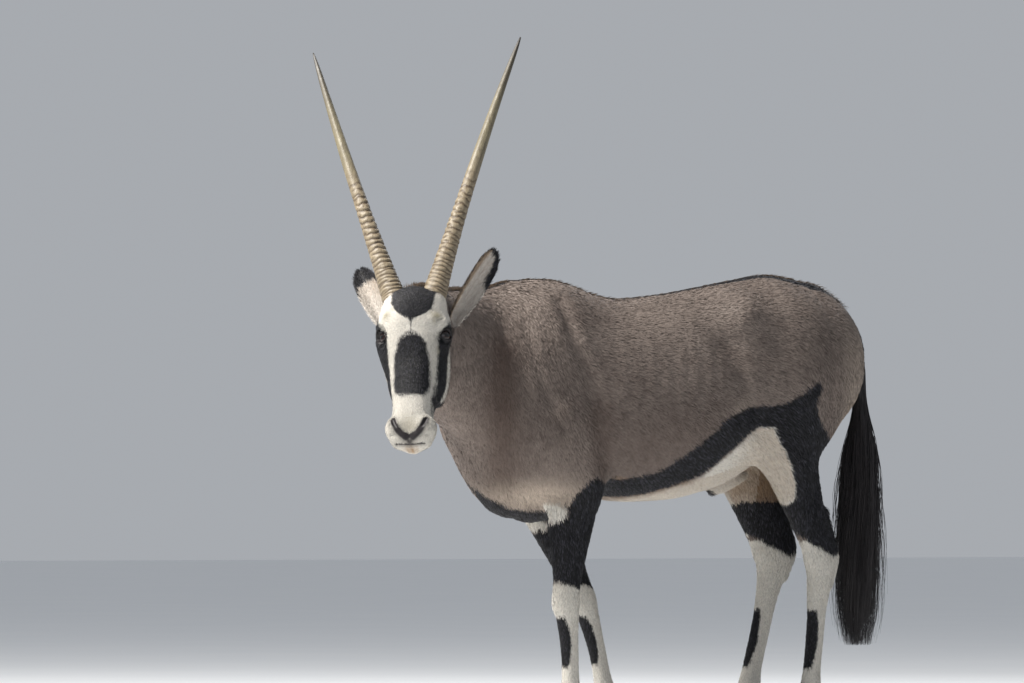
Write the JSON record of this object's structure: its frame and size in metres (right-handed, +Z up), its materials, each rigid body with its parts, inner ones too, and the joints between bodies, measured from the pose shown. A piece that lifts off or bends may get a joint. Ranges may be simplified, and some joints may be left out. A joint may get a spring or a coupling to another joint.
{
  "type": "gemsbok, a standing life-size animal model",
  "caption": "Still, life-size model of a standing gemsbok with its head turned back over its left shoulder, long ringed horns and a tufted tail; stands on its hooves.",
  "frame": {"origin": "on the floor, under the middle of the whole model's bounding box", "axes": "+Z up; the animal faces -X, its left side faces -Y, and its hooves stand on z = 0"},
  "size_m": [1.5908, 0.646, 1.7737],
  "materials": {
    "coat_grey": "short grey-fawn hair, lying flat",
    "coat_black": "short black hair",
    "coat_white": "short white hair",
    "ear_hair": "thin pale hair on skin",
    "horn": "ridged horn below, smooth and darker above",
    "hoof": "dry black hoof horn",
    "eye": "wet dark brown eye",
    "tail_hair": "long black hair"
  },
  "bodies": {
    "root": {"trunk": "coat_grey", "neck": "coat_grey", "head": "coat_white", "eye_left": "eye", "eye_right": "eye", "horn_left": "horn", "horn_right": "horn", "ear_left": "ear_hair", "ear_right": "ear_hair", "foreleg_left_upper": "coat_black", "foreleg_left_lower": "coat_white", "foreleg_right_upper": "coat_black", "foreleg_right_lower": "coat_white", "hindleg_left_upper": "coat_black", "hindleg_left_lower": "coat_white", "hindleg_right_upper": "coat_black", "hindleg_right_lower": "coat_white", "hoof_fore_left_outer": "hoof", "hoof_fore_left_inner": "hoof", "hoof_fore_right_outer": "hoof", "hoof_fore_right_inner": "hoof", "hoof_hind_left_outer": "hoof", "hoof_hind_left_inner": "hoof", "hoof_hind_right_outer": "hoof", "hoof_hind_right_inner": "hoof", "dewclaw_fore_left_outer": "hoof", "dewclaw_fore_left_inner": "hoof", "dewclaw_fore_right_outer": "hoof", "dewclaw_fore_right_inner": "hoof", "dewclaw_hind_left_outer": "hoof", "dewclaw_hind_left_inner": "hoof", "dewclaw_hind_right_outer": "hoof", "dewclaw_hind_right_inner": "hoof", "tail_dock": "coat_black", "tail_tuft": "tail_hair"}
  },
  "joints": []
}
